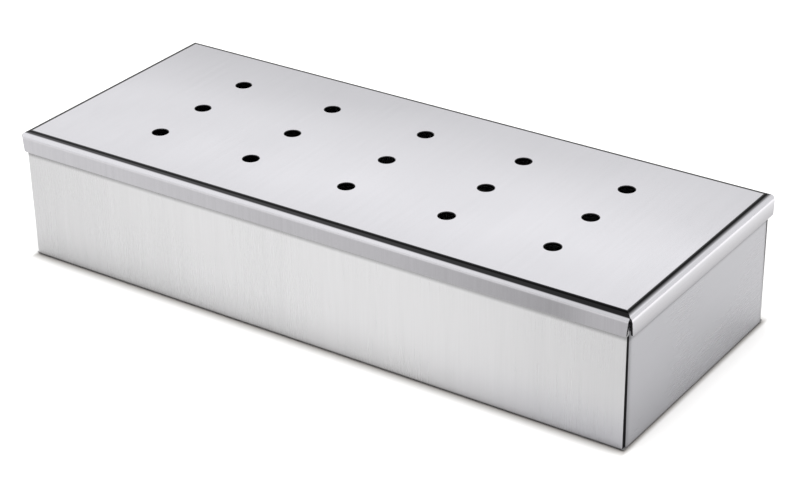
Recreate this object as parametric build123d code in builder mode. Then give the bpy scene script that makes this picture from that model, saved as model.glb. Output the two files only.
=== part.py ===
from build123d import *
import os
from math import cos, radians, sin, sqrt

os.makedirs("parts", exist_ok=True)

# A wood-chip smoker box: a folded tray, a perforated folded lid, and two small butt hinges behind.
# Millimetres. +X runs to the right along the long side, +Y to the back, +Z up.
# The origin is the centre of the tray's floor, on the surface that the box stands on.

# ---- driving dimensions ----
box_height = 46.0  # floor to the top of the closed lid
sheet = 0.7  # thickness of the tray's and the lid's sheet
edge_gap = 0.1  # smallest gap left between two sheets that pass each other

lid_length = 230.0
lid_width = 92.0
lid_depth = 7.0  # from the lid's top to the lower edge of its flanges
lid_bend = 2.6  # outer radius of the bends round the lid's top
lid_notch = 1.4  # how far each flange stops short of the corner, at its lower edge
lid_corner = 0.6  # radius of each flange's free lower corner
lid_seat = 0.05  # gap between the tray's rim and the inside of the lid's bends

vent_columns, vent_rows = 5, 3
vent_pitch_x, vent_pitch_y = 37.5, 22.4
vent_shift = 0.8  # the rows sit this much nearer the back
vent_diameter = 5.4
vent_break = 0.2  # broken edge round each vent

tray_end_overhang = 1.5  # how far the lid's end flanges stand out over the tray
tray_side_overhang = 1.1  # the same at the long sides
tray_bend = 1.2  # outer radius of the bends round the floor
seam_rim, seam_foot = 0.1, 0.5  # how far the long walls stop short of the corners, at rim and floor
seam_start = 0.9  # height above which the corners are open
seam_ease = 0.25  # radius of the eased edges at the long walls' ends
tab_bend = 1.2  # outer radius of the bend of each corner tab
tab_length = 11.0
tab_foot = 1.1  # height of each tab's lower edge, clear of the floor's bend
tab_drop = 2.5  # how far each tab's upper edge lies below the rim
weld_diameter = 3.0
trim = 20.0  # how far a cutting shape runs past whatever it trims

hinge_centres = {"left": -70.0, "right": 70.0}
hinge_width = 30.0
leaf = 0.8  # thickness of the hinge's leaves
tray_leaf_corner = 2.0
lid_leaf_corner = 0.8
pin_diameter = 2.0
pin_clearance = 0.05  # radial, inside every knuckle
barrel_gap = 0.25  # between the barrel and the lid's back flange
middle_knuckle = 13.4
knuckle_gap = 0.3
curl_angle = 290.0  # how far each leaf is curled round the pin
pin_head_diameter, pin_head_height = 3.2, 0.8
tray_leaf_foot = 23.5  # height of the tray leaf's lower edge above the floor
lid_leaf_top = 44.4
dimple_diameter, dimple_depth, dimple_taper = 2.0, 0.16, 30.0  # spot-weld marks on the lid's leaves

rivet_spacing = 20.0
rivet_height = 29.5  # height of the rivets above the floor
rivet_diameter = 3.0
rivet_hole_diameter = 3.1
rivet_head_diameter, rivet_head_height = 5.4, 1.4
rivet_tail_diameter, rivet_tail_height = 4.6, 0.9

# ---- places worked out from them ----
flange_foot = box_height - lid_depth
tray_length = lid_length - 2 * tray_end_overhang
tray_width = lid_width - 2 * tray_side_overhang
tray_end = tray_length / 2
tray_side = tray_width / 2

# the long walls' rims stop just under the inside of the lid's bends
rim_reach = tray_side - (lid_width / 2 - lid_bend)
rim_height = box_height - lid_bend + sqrt((lid_bend - sheet) ** 2 - rim_reach**2) - lid_seat

curl_radius = pin_diameter / 2 + pin_clearance + leaf / 2  # middle of the curled leaf
barrel_radius = curl_radius + leaf / 2
axis_y = lid_width / 2 + barrel_gap + barrel_radius
axis_z = flange_foot


def finish(builder, name):
    """Labels a finished piece and writes it to its own file."""
    builder.part.label = name
    export_step(builder.part, f"parts/{name}.step")


def corners(x, y):
    """The four corners of a rectangle with half sizes x and y: each one's two signs and its place."""
    return [(sx, sy, sx * x, sy * y) for sx in (-1, 1) for sy in (-1, 1)]


# ---- tray ----
rivet_places = [
    (centre + offset, rivet_height)
    for centre in hinge_centres.values()
    for offset in (-rivet_spacing / 2, rivet_spacing / 2)
]
tab_centre_x = tray_end - tab_bend
tab_face_y = tray_side - sheet - edge_gap
tab_centre_y = tab_face_y - tab_bend

with BuildPart() as tray:
    # a shell with sharp upright corners, bent up all round the floor
    with BuildSketch(Plane.XY):
        Rectangle(tray_length, tray_width)
    extrude(amount=rim_height)
    fillet(tray.faces().sort_by(Axis.Z)[0].edges(), tray_bend)
    offset(amount=-sheet, openings=tray.faces().sort_by(Axis.Z)[-1])

    # each upright corner is a seam: the end wall stops well short, where its tab starts to bend
    for _, sy, x, y in corners(tray_end, tray_side):
        with BuildSketch(Plane.XY.offset(seam_start)):
            with Locations((x, sy * (tab_centre_y + tray_side - sheet) / 2)):
                Rectangle(2 * tray_bend, tray_side - sheet - tab_centre_y)
        extrude(amount=box_height, mode=Mode.SUBTRACT)
        # the long wall runs almost to the corner, and the seam opens a little towards the floor
        for z, setback in ((seam_start, seam_foot), (rim_height, seam_rim)):
            with BuildSketch(Plane.XY.offset(z)):
                with Locations((x, y)):
                    Rectangle(2 * setback, 2 * sheet)
        loft(mode=Mode.SUBTRACT)
    seam_edges = [
        edge
        for edge in tray.edges().filter_by(GeomType.LINE)
        if edge.length > rim_height / 2 and abs(edge.center().Y) > tray_side - sheet / 2
    ]
    fillet(seam_edges, seam_ease)

    # tabs on the end walls, bent in behind the long walls
    for sx, sy, x, y in corners(tab_centre_x, tab_centre_y):
        with BuildSketch(Plane.XY.offset(tab_foot)):
            with BuildLine():
                bend_start = sx * (tab_bend - sheet / 2)
                tab_y = sy * (tab_face_y - sheet / 2)
                turn = RadiusArc((x + bend_start, y), (x, tab_y), -sx * sy * (tab_bend - sheet / 2))
                Line(turn @ 1, (x - sx * tab_length, tab_y))
            trace(line_width=sheet)
        extrude(amount=rim_height - tab_drop - tab_foot)
        # two spot welds hold each tab to its long wall
        weld_x = x - sx * tab_length / 2
        for weld_z in (rim_height / 3, rim_height * 2 / 3):
            with BuildSketch(Plane((weld_x, sy * (tab_face_y + edge_gap), weld_z), z_dir=(0, -sy, 0))):
                Circle(weld_diameter / 2)
            extrude(amount=edge_gap)

    # rivet holes for the hinges in the back wall
    for x, z in rivet_places:
        with BuildSketch(Plane((x, tray_side, z), z_dir=(0, -1, 0))):
            Circle(rivet_hole_diameter / 2)
        extrude(amount=2 * sheet, mode=Mode.SUBTRACT)
finish(tray, "tray")


# ---- lid ----
mitre = lid_bend * (1 - sin(radians(45)))  # inset of the mitre's middle from the corner
mitre_z = box_height - lid_bend * (1 - cos(radians(45)))

with BuildPart() as lid:
    with BuildSketch(Plane.XY.offset(flange_foot)):
        Rectangle(lid_length, lid_width)
    extrude(amount=lid_depth)
    fillet(lid.faces().sort_by(Axis.Z)[-1].edges(), lid_bend)
    offset(amount=-sheet, openings=lid.faces().sort_by(Axis.Z)[0])

    # V-notches: the flanges part from the middle of the mitred bend down to their lower edges
    for _, _, x, y in corners(lid_length / 2, lid_width / 2):
        for z, inset in ((mitre_z, mitre), (flange_foot, lid_notch)):
            with BuildSketch(Plane.XY.offset(z)):
                with Locations((x, y)):
                    Rectangle(2 * inset, 2 * inset)
        loft(mode=Mode.SUBTRACT)
    free_corners = [
        edge
        for edge in lid.edges().filter_by(GeomType.LINE)
        if abs(edge.length - sheet) < 0.02 and edge.center().Z < flange_foot + 0.01
    ]
    fillet(free_corners, lid_corner)

    # vents through the top, with a broken upper edge
    with Locations((0, vent_shift, box_height)):
        with GridLocations(vent_pitch_x, vent_pitch_y, vent_columns, vent_rows):
            Hole(vent_diameter / 2)
    vent_rims = lid.edges().filter_by(GeomType.CIRCLE).filter_by_position(
        Axis.Z, box_height - 0.01, box_height + 0.01
    )
    chamfer(vent_rims, vent_break)
finish(lid, "lid")


# ---- hinges ----
def tray_leaf_piece(centre):
    """The leaf on the tray's back wall: two rivet holes below, one knuckle in the middle above."""
    plate_y = tray_side + leaf / 2
    curl_y = axis_y - curl_radius
    shoulder = axis_z - barrel_radius - 2 * knuckle_gap
    with BuildPart() as piece:
        with BuildSketch(Plane.YZ.offset(centre - hinge_width / 2)):
            with BuildLine():
                FilletPolyline(
                    (plate_y, tray_leaf_foot),
                    (plate_y, shoulder),
                    (curl_y, axis_z - barrel_radius / 2),
                    (curl_y, axis_z),
                    radius=leaf,
                )
                CenterArc((axis_y, axis_z), curl_radius, 180, -curl_angle)
            trace(line_width=leaf)
        extrude(amount=hinge_width)
        # only the middle knuckle rises above the shoulder
        for side in (-1, 1):
            with BuildSketch(Plane.XY.offset(shoulder)):
                with Locations((centre + side * (middle_knuckle + trim) / 2, axis_y)):
                    Rectangle(trim, trim)
            extrude(amount=trim, mode=Mode.SUBTRACT)
        foot_corners = piece.edges().filter_by(Axis.Y).group_by(Axis.Z)[0]
        fillet(foot_corners, tray_leaf_corner)
        for offset_x in (-rivet_spacing / 2, rivet_spacing / 2):
            with BuildSketch(Plane((centre + offset_x, tray_side, rivet_height), z_dir=(0, 1, 0))):
                Circle(rivet_hole_diameter / 2)
            extrude(amount=2 * leaf, mode=Mode.SUBTRACT)
    return piece


def lid_leaf_piece(centre):
    """The leaf on the lid's back flange: two outer knuckles below, spot-weld dimples above them."""
    plate_y = lid_width / 2 + leaf / 2
    curl_y = axis_y - curl_radius
    shoulder = axis_z + barrel_radius + 2 * knuckle_gap
    outer_knuckle = (hinge_width - middle_knuckle) / 2 - knuckle_gap
    with BuildPart() as piece:
        with BuildSketch(Plane.YZ.offset(centre - hinge_width / 2)):
            with BuildLine():
                FilletPolyline(
                    (plate_y, lid_leaf_top),
                    (plate_y, shoulder),
                    (curl_y, axis_z + barrel_radius / 2),
                    (curl_y, axis_z),
                    radius=leaf,
                )
                CenterArc((axis_y, axis_z), curl_radius, 180, curl_angle)
            trace(line_width=leaf)
        extrude(amount=hinge_width)
        # the tray's knuckle turns in the gap between the two outer ones
        with BuildSketch(Plane.XY.offset(shoulder)):
            with Locations((centre, axis_y)):
                Rectangle(middle_knuckle + 2 * knuckle_gap, trim)
        extrude(amount=-trim, mode=Mode.SUBTRACT)
        top_corners = piece.edges().filter_by(Axis.Y).group_by(Axis.Z)[-1]
        fillet(top_corners, lid_leaf_corner)
        weld_z = (shoulder + lid_leaf_top) / 2
        for side in (-1, 1):
            weld_x = centre + side * (hinge_width - outer_knuckle) / 2
            with BuildSketch(Plane((weld_x, lid_width / 2 + leaf, weld_z), z_dir=(0, -1, 0))):
                Circle(dimple_diameter / 2)
            extrude(amount=dimple_depth, taper=dimple_taper, mode=Mode.SUBTRACT)
    return piece


def pin_piece(centre):
    """The hinge pin, peened into a dome at both ends."""
    reach = (hinge_width + knuckle_gap) / 2
    end = reach + pin_head_height
    head_radius = pin_head_diameter / 2
    with BuildPart() as piece:
        with BuildSketch(Plane(origin=(centre, axis_y, axis_z), x_dir=(1, 0, 0), z_dir=(0, -1, 0))):
            with BuildLine():
                left_dome = TangentArc((-end, 0), (-reach, head_radius), tangent=(0, 1))
                right_dome = TangentArc((end, 0), (reach, head_radius), tangent=(0, 1))
                Polyline(
                    left_dome @ 1,
                    (-reach, pin_diameter / 2),
                    (reach, pin_diameter / 2),
                    right_dome @ 1,
                )
                Line(right_dome @ 0, left_dome @ 0)
            make_face()
        revolve(axis=Axis((centre, axis_y, axis_z), (1, 0, 0)))
    return piece


def rivets_piece(centre):
    """Two rivets through the tray leaf and the back wall: domed heads outside, flat tails inside."""
    head_base = tray_side + leaf
    tail_base = tray_side - sheet
    with BuildPart() as piece:
        for offset_x in (-rivet_spacing / 2, rivet_spacing / 2):
            x = centre + offset_x
            with BuildSketch(Plane(origin=(x, 0, rivet_height), x_dir=(1, 0, 0), z_dir=(0, 0, 1))):
                with BuildLine():
                    dome = TangentArc(
                        (0, head_base + rivet_head_height),
                        (rivet_head_diameter / 2, head_base),
                        tangent=(1, 0),
                    )
                    Polyline(
                        dome @ 1,
                        (rivet_diameter / 2, head_base),
                        (rivet_diameter / 2, tail_base),
                        (rivet_tail_diameter / 2, tail_base),
                        (rivet_tail_diameter / 2, tail_base - rivet_tail_height),
                        (0, tail_base - rivet_tail_height),
                        dome @ 0,
                    )
                make_face()
            revolve(axis=Axis((x, 0, rivet_height), (0, 1, 0)))
    return piece


for side, centre in hinge_centres.items():
    finish(tray_leaf_piece(centre), f"{side}_hinge_tray_leaf")
    finish(lid_leaf_piece(centre), f"{side}_hinge_lid_leaf")
    finish(pin_piece(centre), f"{side}_hinge_pin")
    finish(rivets_piece(centre), f"{side}_hinge_rivets")
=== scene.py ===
"""The looks of a stainless wood-chip smoker box: brushed sheet, hinges, pale floor and soft studio light."""
from math import radians

import bpy
from mathutils import Matrix, Vector


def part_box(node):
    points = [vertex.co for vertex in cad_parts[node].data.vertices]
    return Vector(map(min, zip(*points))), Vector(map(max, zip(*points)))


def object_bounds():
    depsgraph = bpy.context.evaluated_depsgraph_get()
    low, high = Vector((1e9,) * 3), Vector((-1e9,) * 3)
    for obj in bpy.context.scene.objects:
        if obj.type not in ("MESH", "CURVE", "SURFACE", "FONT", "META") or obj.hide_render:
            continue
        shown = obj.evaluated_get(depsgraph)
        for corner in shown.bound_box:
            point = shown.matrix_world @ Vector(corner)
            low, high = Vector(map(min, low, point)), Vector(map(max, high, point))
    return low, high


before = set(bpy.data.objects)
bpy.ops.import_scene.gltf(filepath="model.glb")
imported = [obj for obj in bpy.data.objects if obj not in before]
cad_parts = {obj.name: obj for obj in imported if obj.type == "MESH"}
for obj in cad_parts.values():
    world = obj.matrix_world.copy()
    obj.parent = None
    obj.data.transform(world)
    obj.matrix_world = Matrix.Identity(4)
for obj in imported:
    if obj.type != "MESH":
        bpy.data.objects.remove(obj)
cad_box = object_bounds()
lid_low, lid_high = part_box("lid")
tray_low, tray_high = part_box("tray")

MM = 0.001
WHITE = (1.0, 1.0, 1.0, 1.0)


# ---- node helpers ----
class Nodes:
    """A short way to add shader nodes to one tree, with sockets or plain values as inputs."""

    def __init__(self, tree):
        self.tree = tree
        tree.nodes.clear()

    def add(self, kind, inputs=None, **settings):
        node = self.tree.nodes.new(kind)
        for name, value in settings.items():
            setattr(node, name, value)
        for name, value in (inputs or {}).items():
            if isinstance(value, bpy.types.NodeSocket):
                self.tree.links.new(value, node.inputs[name])
            else:
                node.inputs[name].default_value = value
        return node

    def math(self, operation, a, b=0.0):
        return self.add("ShaderNodeMath", {0: a, 1: b}, operation=operation).outputs[0]

    def plus(self, a, b):
        return self.math("ADD", a, b)

    def minus(self, a, b):
        return self.math("SUBTRACT", a, b)

    def product(self, *values):
        result = values[0]
        for value in values[1:]:
            result = self.math("MULTIPLY", result, value)
        return result

    def step(self, value, low, high):
        """Goes smoothly from 0 to 1 as value goes from low to high, which may be the smaller of the two."""
        inputs = {"Value": value, "From Min": low, "From Max": high}
        return self.add("ShaderNodeMapRange", inputs, interpolation_type="SMOOTHSTEP").outputs[0]

    def ramp(self, value, low, high, out_low, out_high):
        """A straight change from out_low to out_high as value goes from low to high, and level beyond."""
        inputs = {"Value": value, "From Min": low, "From Max": high, "To Min": out_low, "To Max": out_high}
        return self.add("ShaderNodeMapRange", inputs).outputs[0]

    def fade(self, mask, tone):
        """1 where the mask is 0, and the tone where it is 1."""
        return self.ramp(mask, 0.0, 1.0, 1.0, tone)

    def split(self, vector):
        return self.add("ShaderNodeSeparateXYZ", {0: vector}).outputs

    def join(self, x, y, z):
        return self.add("ShaderNodeCombineXYZ", {0: x, 1: y, 2: z}).outputs[0]

    def noise(self, vector, scale, detail=2.0):
        inputs = {"Vector": vector, "Scale": scale, "Detail": detail}
        return self.add("ShaderNodeTexNoise", inputs).outputs["Fac"]


class Spot:
    """Where a shaded point lies on its piece: place and normal, signed and unsigned."""

    def __init__(self, nodes):
        coordinates = nodes.add("ShaderNodeTexCoord").outputs
        self.place = coordinates["Object"]
        self.x, self.y, self.z = nodes.split(self.place)
        self.nx, self.ny, self.nz = nodes.split(coordinates["Normal"])
        self.side_x, self.side_y, self.face_x, self.face_y, self.face_z = (
            nodes.math("ABSOLUTE", value) for value in (self.x, self.y, self.nx, self.ny, self.nz)
        )


class Look:
    """How a spot differs from clean steel: its brightness (painted reflections and shade), how much painted
    black shade it has, its blueness, and how much its grain shows.
    """

    def __init__(self, tone=1.0, painted_shade=0.0, cool=0.0, grain=1.0):
        self.tone = tone
        self.painted_shade = painted_shade
        self.cool = cool
        self.grain = grain


# ---- the lid's tones: painted reflections and shade ----
# Each is a share of the clean steel's brightness, painted in place of the reflections and shade that each
# part of the lid shows. A pair goes from the lid's left end to its right.
TOP = 0.955
# painted shade on the vents' chamfers, so the holes look dark; painted dark reflections in the bends
VENT_EDGE = 0.06
END_BEND = 0.04
LONG_BEND = (0.1, 0.02)
LOWER_BEND = 0.84
LOWER_RIGHT = 0.77
LONG_FLANGE = (0.565, 0.38)
NEAR_CORNER = 1.4
END_FLANGE = (0.41, 0.68)  # from its lower edge up
FLANGE_GRAIN = 2.5  # the grain shows this much more on the flanges

# How far up a face looks, as its normal's z, where the long bends' dark band ends and the flanges start.
BAND_FOOT = (0.8, 0.61)
BAND_SOFTNESS = 0.06
FLANGE_TOP = (0.52, 0.4)

BENDS_START = (-3.1 * MM, -2.9 * MM)  # where the flat top gives way to the bends, from the lid's outline
SHEARED_END = (-0.78 * MM, -0.72 * MM)  # how deep the sheet's cut ends reach, from the lid's outline
LOWER_RIGHT_SPAN = (0.2, 1.05)  # where the tone starts and is full, as shares of the lid's half length
NEAR_CORNER_SPAN = (0.77, 0.93)


def lid_tones(nodes, spot):
    """Painted reflections and shade: the bends round the top and the vents' edges are painted dark, the
    flanges darker or lighter by place, and their sheared ends black.
    """

    def along(tones):
        return nodes.ramp(spot.x, lid_low.x, lid_high.x, *tones)

    def rightward(span):
        return nodes.step(spot.x, *(share * lid_high.x for share in span))

    past_x = nodes.minus(spot.side_x, lid_high.x)
    past_y = nodes.minus(spot.side_y, lid_high.y)
    long_side = nodes.step(nodes.minus(past_y, past_x), -0.05 * MM, 0.05 * MM)
    end_side = nodes.minus(1.0, long_side)
    past_top = nodes.step(nodes.math("MAXIMUM", past_x, past_y), *BENDS_START)
    inside_top = nodes.minus(1.0, past_top)

    above_foot = nodes.step(nodes.minus(spot.nz, along(BAND_FOOT)), -BAND_SOFTNESS, BAND_SOFTNESS)
    # painted dark reflections on the bends round the top
    long_bend = nodes.product(long_side, past_top, above_foot)
    end_bend = nodes.product(end_side, past_top, nodes.step(spot.nz, 0.7, 0.97))
    # painted shade on the vents' chamfers
    vent_edge = nodes.product(
        inside_top,
        nodes.step(spot.nz, 0.95, 0.85),  # not the flat top
        nodes.step(spot.nz, -0.6, -0.4),  # nor the underside
    )

    # painted reflections on the flanges, darker or lighter by place
    flange = nodes.product(past_top, nodes.step(spot.nz, along(FLANGE_TOP), 0.0))
    long_flange = nodes.product(flange, long_side)
    end_flange = nodes.product(flange, end_side)
    near_corner = nodes.product(long_flange, rightward(NEAR_CORNER_SPAN))
    below_band = nodes.product(long_side, past_top, nodes.minus(1.0, above_foot))
    lower_right = nodes.product(below_band, rightward(LOWER_RIGHT_SPAN))
    lower_bend = nodes.product(below_band, nodes.minus(1.0, flange))

    tone = nodes.product(
        nodes.fade(lower_bend, LOWER_BEND),
        nodes.fade(long_bend, along(LONG_BEND)),
        nodes.fade(end_bend, END_BEND),
        nodes.fade(vent_edge, VENT_EDGE),
        nodes.fade(inside_top, TOP),
        nodes.fade(long_flange, along(LONG_FLANGE)),
        nodes.fade(near_corner, NEAR_CORNER),
        nodes.fade(end_flange, nodes.ramp(spot.z, lid_low.z, lid_high.z - 2.0 * MM, *END_FLANGE)),
        nodes.fade(lower_right, LOWER_RIGHT),
    )
    # painted shade: the sheet's cut ends at the notches are painted black
    end_of_long = nodes.product(nodes.step(spot.face_x, 0.4, 0.6), nodes.step(past_y, *SHEARED_END))
    end_of_end = nodes.product(nodes.step(spot.face_y, 0.4, 0.6), nodes.step(past_x, *SHEARED_END))
    painted_shade = nodes.math("MAXIMUM", end_of_long, end_of_end)
    return Look(tone, painted_shade, grain=nodes.fade(flange, FLANGE_GRAIN))


# ---- the tray's tones: painted shade ----
# Each is a share of the clean steel's brightness, painted as shade and darker reflections.
END_WALL = 0.725
BESIDE_SEAM = 0.72
LONG_WALL_ENDS = 0.9
FRONT_RIGHT = 0.92
FRONT_RIGHT_FOOT = 0.92
# a painted shadow line under the lid, and painted black shade on the foot's bend
LID_SHADOW_LINE = 0.56
END_WALL_GRAIN = 0.2  # the grain shows this much less on the end walls
FOOT_SHADE = 0.92

# How far in from a long wall's face the open seam's two sides lie, between which the seam is painted black as
# shade, and how softly they are drawn.
SEAM_OUTER_SIDE = (0.06 * MM, 0.75 * MM)  # at the front corners, and at the back ones
OUTER_SOFTNESS = 0.03 * MM
SEAM_INNER_SIDE = 1.31 * MM
INNER_SOFTNESS = 0.04 * MM


def tray_tones(nodes, spot):
    """Painted shade: the end walls are painted darker than the long ones, the long walls darker towards their
    ends and at the front right, a faint shadow line is painted under the lid, and the seams and the foot's
    bend are painted black.
    """
    inboard = nodes.minus(tray_high.y, spot.side_y)
    # painted shade on the end walls and beside the seams
    end_wall = nodes.product(nodes.step(spot.face_x, 0.6, 0.9), nodes.step(inboard, 0.8 * MM, 1.2 * MM))
    beside_seam = nodes.product(end_wall, nodes.step(inboard, 3.3 * MM, 1.3 * MM))
    # painted shade towards the long walls' ends, and at the front wall's right end and foot
    to_the_ends = nodes.math("POWER", nodes.math("DIVIDE", spot.side_x, tray_high.x), 2.0)
    front_right = nodes.product(
        nodes.step(spot.ny, -0.3, -0.8),
        nodes.step(spot.x, 0.3 * tray_high.x, 1.05 * tray_high.x),
    )
    front_right_foot = nodes.product(front_right, nodes.step(spot.z, 0.45 * tray_high.z, tray_low.z))

    # a painted shadow line lies just under the lid's flanges, a little lower on the end walls
    below_lid = nodes.minus(nodes.minus(lid_low.z, spot.z), nodes.product(end_wall, 0.7 * MM))
    lid_shadow_line = nodes.product(
        nodes.step(below_lid, 2.4 * MM, 0.9 * MM),
        nodes.step(below_lid, -1.5 * MM, -0.5 * MM),
    )
    tone = nodes.product(
        nodes.fade(end_wall, END_WALL),
        nodes.fade(beside_seam, BESIDE_SEAM),
        nodes.fade(to_the_ends, LONG_WALL_ENDS),
        nodes.fade(front_right, FRONT_RIGHT),
        nodes.fade(front_right_foot, FRONT_RIGHT_FOOT),
        nodes.fade(lid_shadow_line, LID_SHADOW_LINE),
    )

    # painted shade: the open seams at the corners are painted black
    outer_side = nodes.ramp(spot.y, -1.0 * MM, 1.0 * MM, *SEAM_OUTER_SIDE)
    seam = nodes.product(
        nodes.step(nodes.minus(inboard, outer_side), -OUTER_SOFTNESS, OUTER_SOFTNESS),
        nodes.step(inboard, SEAM_INNER_SIDE + INNER_SOFTNESS, SEAM_INNER_SIDE - INNER_SOFTNESS),
        nodes.step(spot.side_x, tray_high.x - 2.2 * MM, tray_high.x - 1.8 * MM),  # at the tray's ends
        nodes.step(spot.z, tray_low.z + 0.8 * MM, tray_low.z + 1.0 * MM),  # above the floor's bend
        nodes.step(spot.z, lid_low.z - 0.3 * MM, lid_low.z - 0.6 * MM),  # below the lid
    )
    # painted shade: the foot's bend is painted dark, but not the underside
    foot = nodes.product(
        nodes.step(spot.z, tray_low.z + 1.3 * MM, tray_low.z + 0.3 * MM),
        FOOT_SHADE,
        nodes.step(spot.nz, -0.98, -0.9),
    )
    # painted black shade: the seams and the foot's bend
    painted_shade = nodes.math("MAXIMUM", seam, foot)
    # a cooler tint is painted along with the painted shade on the end walls and the front wall's right foot
    cool = nodes.math("MAXIMUM", end_wall, front_right_foot)
    return Look(tone, painted_shade, cool, nodes.fade(end_wall, END_WALL_GRAIN))


def plain_tones(nodes, spot):
    return Look()


# ---- brushed steel ----
FACING = 0.7  # a face counts as a wall once its normal has this much of X or Y
FINE_SPAN = (0.25, 0.75)  # the values that the fine noise mostly takes, and the coarse noise
COARSE_SPAN = (0.3, 0.7)
LINE_SEED = 0.0
BAND_SEED = 3.0
LINE_SWING = 0.05  # how far the fine lines, bands and clouds lighten and darken clean steel
BAND_SWING = 0.03
CLOUD_SWING = 0.02
ROUGHNESS_SWING = 0.02
LINE_LENGTH = 70  # in widths of the grain, as are the next two
BAND_WIDTH = 12
BAND_LENGTH = 400
CLOUD_SIZE = 45 * MM
# painted shade turns a spot into a dark, dull, non-metal surface
PAINTED_SHADE_TONE = 0.02
PAINTED_SHADE_ROUGHNESS = 0.6  # added to the steel's own
BLUENESS = 0.04  # added to the blue of a cool spot


def grain_space(nodes, spot):
    """Places across and along the grain, which runs along Y on flat and end faces, upright on long walls."""
    on_end = nodes.math("GREATER_THAN", spot.face_x, FACING)
    on_side = nodes.math("GREATER_THAN", spot.face_y, FACING)
    down_end = nodes.product(spot.z, nodes.math("SIGN", spot.x), on_end)
    down_side = nodes.product(spot.z, nodes.math("SIGN", spot.y), on_side)
    return nodes.minus(spot.x, down_end), nodes.minus(spot.y, down_side)


def streaks(nodes, across, along, width, length, seed):
    """Noise drawn out along the grain into marks about as wide and as long as asked."""
    place = nodes.join(nodes.math("DIVIDE", across, width), nodes.math("DIVIDE", along, length), seed)
    return nodes.noise(place, 1.0)


def brushed_steel(name, colour, roughness, tones=plain_tones, contrast=1.0, bump=0.12, grain=0.14 * MM):
    """Stainless sheet: fine lines and wider bands along the grain, slow clouds, and painted black shade where
    the tones ask for it, such as in the seams.
    """
    material = bpy.data.materials.new(name)
    material.use_nodes = True
    nodes = Nodes(material.node_tree)
    spot = Spot(nodes)
    across, along = grain_space(nodes, spot)

    fine = streaks(nodes, across, along, grain, LINE_LENGTH * grain, LINE_SEED)
    bands = streaks(nodes, across, along, BAND_WIDTH * grain, BAND_LENGTH * grain, BAND_SEED)
    clouds = nodes.noise(spot.place, 1 / CLOUD_SIZE, 1.0)
    look = tones(nodes, spot)
    # where no painted shade is, the steel stays metal
    unshaded = nodes.minus(1.0, look.painted_shade)

    lines = nodes.plus(
        nodes.ramp(fine, *FINE_SPAN, -LINE_SWING * contrast, LINE_SWING * contrast),
        nodes.ramp(bands, *COARSE_SPAN, -BAND_SWING * contrast, BAND_SWING * contrast),
    )
    tone = nodes.plus(1.0, nodes.product(lines, look.grain))
    tone = nodes.plus(tone, nodes.ramp(clouds, *COARSE_SPAN, -CLOUD_SWING, CLOUD_SWING))
    tone = nodes.plus(nodes.product(tone, look.tone, unshaded), nodes.product(look.painted_shade, PAINTED_SHADE_TONE))
    blue = nodes.product(tone, nodes.plus(1.0, nodes.product(look.cool, BLUENESS)))
    tint = nodes.join(tone, tone, blue)
    base = nodes.add("ShaderNodeVectorMath", {0: colour, 1: tint}, operation="MULTIPLY").outputs[0]

    rough = nodes.ramp(fine, *FINE_SPAN, roughness - ROUGHNESS_SWING, roughness + ROUGHNESS_SWING)
    rough = nodes.plus(rough, nodes.ramp(clouds, *COARSE_SPAN, -ROUGHNESS_SWING, ROUGHNESS_SWING))
    rough = nodes.plus(rough, nodes.product(look.painted_shade, PAINTED_SHADE_ROUGHNESS))
    relief = nodes.add("ShaderNodeBump", {"Height": fine, "Strength": bump, "Distance": 0.02 * MM})

    # reflections are drawn out across the grain
    across_way = nodes.join(nodes.plus(spot.face_z, spot.face_y), 0.0, nodes.product(spot.nx, -1.0))
    tangent = nodes.add(
        "ShaderNodeVectorTransform",
        {0: across_way},
        vector_type="VECTOR",
        convert_from="OBJECT",
        convert_to="WORLD",
    ).outputs[0]

    surface = nodes.add(
        "ShaderNodeBsdfPrincipled",
        {
            "Base Color": base,
            "Metallic": unshaded,
            "Roughness": rough,
            "Anisotropic": 0.5,
            "Specular IOR Level": 0.0,
            "Tangent": tangent,
            "Normal": relief.outputs[0],
        },
    )
    nodes.add("ShaderNodeOutputMaterial", {"Surface": surface.outputs[0]})
    return material


def dress(node_name, material):
    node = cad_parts[node_name]
    node.data.materials.clear()
    node.data.materials.append(material)


SHEET_BUMP = 0.05

lid_steel = brushed_steel(
    "lid_steel", (0.68, 0.674, 0.706), 0.12, lid_tones, contrast=0.35, bump=SHEET_BUMP
)
tray_steel = brushed_steel(
    "tray_steel", (0.5, 0.5, 0.508), 0.28, tray_tones, contrast=0.5, bump=SHEET_BUMP, grain=0.3 * MM
)
leaf_steel = brushed_steel("leaf_steel", (0.5, 0.5, 0.51), 0.3)
pin_steel = brushed_steel("pin_steel", (0.5, 0.5, 0.51), 0.25, contrast=0.5)
dress("lid", lid_steel)
dress("tray", tray_steel)
for node_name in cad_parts:
    if node_name.endswith("leaf"):
        dress(node_name, leaf_steel)
    elif node_name.endswith(("pin", "rivets")):
        dress(node_name, pin_steel)


# ---- floor ----
FLOOR_REACH = 6.0
SHADE_SPAN = (-1.5 * MM, 4.5 * MM)  # the contact shade fades out over this distance from the tray
SHADE_AT_ENDS = 2.6  # how many times narrower it is at the tray's ends
SHADE_TO_WHITE = ((0.29, 0.785), (0.275, 0.78), (0.26, 0.775))  # red, green and blue, shaded and not


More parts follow.
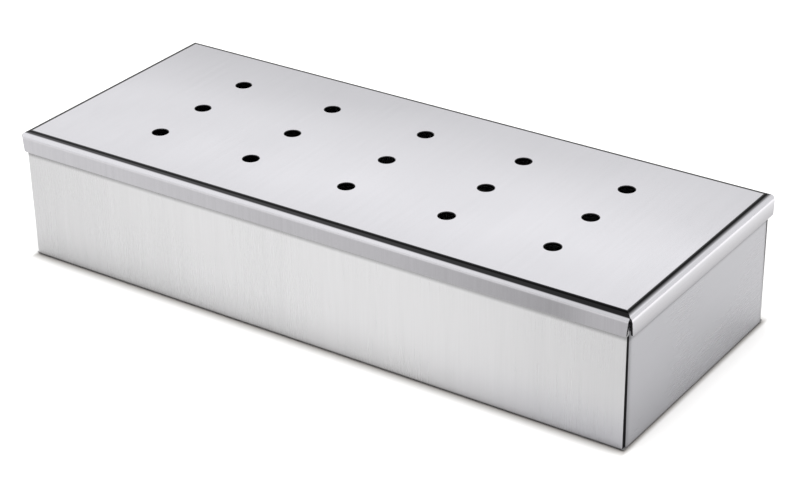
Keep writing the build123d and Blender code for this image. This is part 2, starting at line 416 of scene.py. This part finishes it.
def pale_floor():
    """A wide white floor, with a narrow contact shade painted round the tray's foot."""
    mesh = bpy.data.meshes.new("floor")
    signs = ((-1, -1), (1, -1), (1, 1), (-1, 1))
    corners = [(sx * FLOOR_REACH, sy * FLOOR_REACH, 0) for sx, sy in signs]
    mesh.from_pydata(corners, [], [(0, 1, 2, 3)])
    floor = bpy.data.objects.new("floor", mesh)
    floor.location.z = cad_box[0].z
    bpy.context.scene.collection.objects.link(floor)

    material = bpy.data.materials.new("floor_white")
    material.use_nodes = True
    nodes = Nodes(material.node_tree)
    x, y, z = nodes.split(nodes.add("ShaderNodeTexCoord").outputs["Object"])
    out_x, out_y = (
        nodes.math("MAXIMUM", nodes.minus(nodes.math("ABSOLUTE", place), half), 0.0)
        for place, half in ((x, tray_high.x), (y, tray_high.y))
    )
    reach = nodes.join(nodes.product(out_x, SHADE_AT_ENDS), out_y, 0.0)
    distance = nodes.add("ShaderNodeVectorMath", {0: reach}, operation="LENGTH").outputs["Value"]
    away = nodes.step(distance, *SHADE_SPAN)
    colour = nodes.join(*(nodes.ramp(away, 0.0, 1.0, *channel) for channel in SHADE_TO_WHITE))
    surface = nodes.add("ShaderNodeBsdfDiffuse", {"Color": colour})
    nodes.add("ShaderNodeOutputMaterial", {"Surface": surface.outputs[0]})
    mesh.materials.append(material)


pale_floor()


# ---- light ----
ROOM = 1.33  # brightness of the room's white walls
ZENITH = 0.95  # brightness straight overhead
FLAG = 0.3  # brightness of the dark flag at the back left
LOW_BACK = (0.5, 0.72)  # share of the walls' brightness low behind, from left to right
HIGH_BACK = 0.82  # the same, higher up behind
HORIZON = 0.6  # a further share near the horizon, behind and to the left
BEHIND = (0.2, 0.45)  # a direction starts to count as behind at the first y, and fully counts at the second


def studio_world():
    """White walls all round, a softer ceiling, and a dark flag at the back left for contrast in the bends.

    Directions have x to the right, y to the back and z up. Seen straight on, the world is plain white.
    """
    world = bpy.data.worlds.new("studio")
    bpy.context.scene.world = world
    world.use_nodes = True
    nodes = Nodes(world.node_tree)
    x, y, z = nodes.split(nodes.add("ShaderNodeTexCoord").outputs["Generated"])
    slope = nodes.math("DIVIDE", z, nodes.math("MAXIMUM", y, 0.1))
    behind = nodes.step(y, *BEHIND)

    # the flag's lower edge climbs a little and then falls, from left to right
    flag_foot = nodes.plus(nodes.ramp(x, -0.64, -0.42, 0.46, 0.54), nodes.ramp(x, -0.4, -0.28, 0.0, -0.15))
    flag = nodes.product(
        nodes.step(nodes.minus(z, flag_foot), -0.02, 0.02),  # above its lower edge
        nodes.step(y, 0.1, 0.3),  # behind
        nodes.step(x, 0.05, -0.12),  # to the left
        nodes.step(z, 0.98, 0.94),  # short of the zenith
    )
    low_back = nodes.product(behind, nodes.step(slope, 0.6, 0.54))
    high_back = nodes.product(behind, nodes.step(slope, 0.622, 0.645))
    horizon = nodes.product(behind, nodes.step(z, 0.3, 0.22), nodes.step(x, 0.1, -0.1))
    room = nodes.product(
        nodes.ramp(nodes.step(z, 0.9, 0.98), 0.0, 1.0, ROOM, ZENITH),
        nodes.fade(low_back, nodes.ramp(x, -0.6, -0.38, *LOW_BACK)),
        nodes.fade(high_back, HIGH_BACK),
        nodes.fade(horizon, HORIZON),
    )
    strength = nodes.plus(room, nodes.product(flag, nodes.minus(FLAG, room)))

    seen = nodes.add("ShaderNodeBackground", {"Color": WHITE, "Strength": 1.0})
    light = nodes.add("ShaderNodeBackground", {"Color": WHITE, "Strength": strength})
    straight = nodes.add("ShaderNodeLightPath").outputs["Is Camera Ray"]
    mix = nodes.add("ShaderNodeMixShader", {0: straight, 1: light.outputs[0], 2: seen.outputs[0]})
    nodes.add("ShaderNodeOutputWorld", {"Surface": mix.outputs[0]})


def overhead_light():
    """A wide soft light over the box and the floor, which leaves no reflection of itself."""
    lamp = bpy.data.lights.new("overhead", "AREA")
    lamp.shape = "DISK"
    lamp.size = 1.6
    lamp.energy = 40.0
    holder = bpy.data.objects.new("overhead", lamp)
    holder.location = (0.0, 0.0, 2.0)
    holder.visible_glossy = False
    bpy.context.scene.collection.objects.link(holder)


studio_world()
overhead_light()
bpy.context.scene.view_settings.view_transform = "Standard"


# ---- camera ----
STAND = Vector((376.13, -535.8, 316.31)) * MM  # from the middle of the lid's top
HEADING = 34.799  # degrees to the left of straight back
DOWNWARD = 27.749  # degrees below level
ROLL = -1.127


def photo_camera():
    """Stands to the front right of the box and looks down on it, with a long lens."""
    camera = bpy.data.cameras.new("camera")
    camera.lens = 103.27
    camera.clip_start = 0.05
    camera.clip_end = 20.0
    holder = bpy.data.objects.new("camera", camera)
    lid_top = Vector(((lid_low.x + lid_high.x) / 2, (lid_low.y + lid_high.y) / 2, lid_high.z))
    heading = Matrix.Rotation(radians(HEADING), 4, "Z")
    tilt = Matrix.Rotation(radians(90 - DOWNWARD), 4, "X")
    roll = Matrix.Rotation(radians(ROLL), 4, "Z")
    holder.matrix_world = Matrix.Translation(lid_top + STAND) @ heading @ tilt @ roll
    bpy.context.scene.collection.objects.link(holder)
    bpy.context.scene.camera = holder


photo_camera()
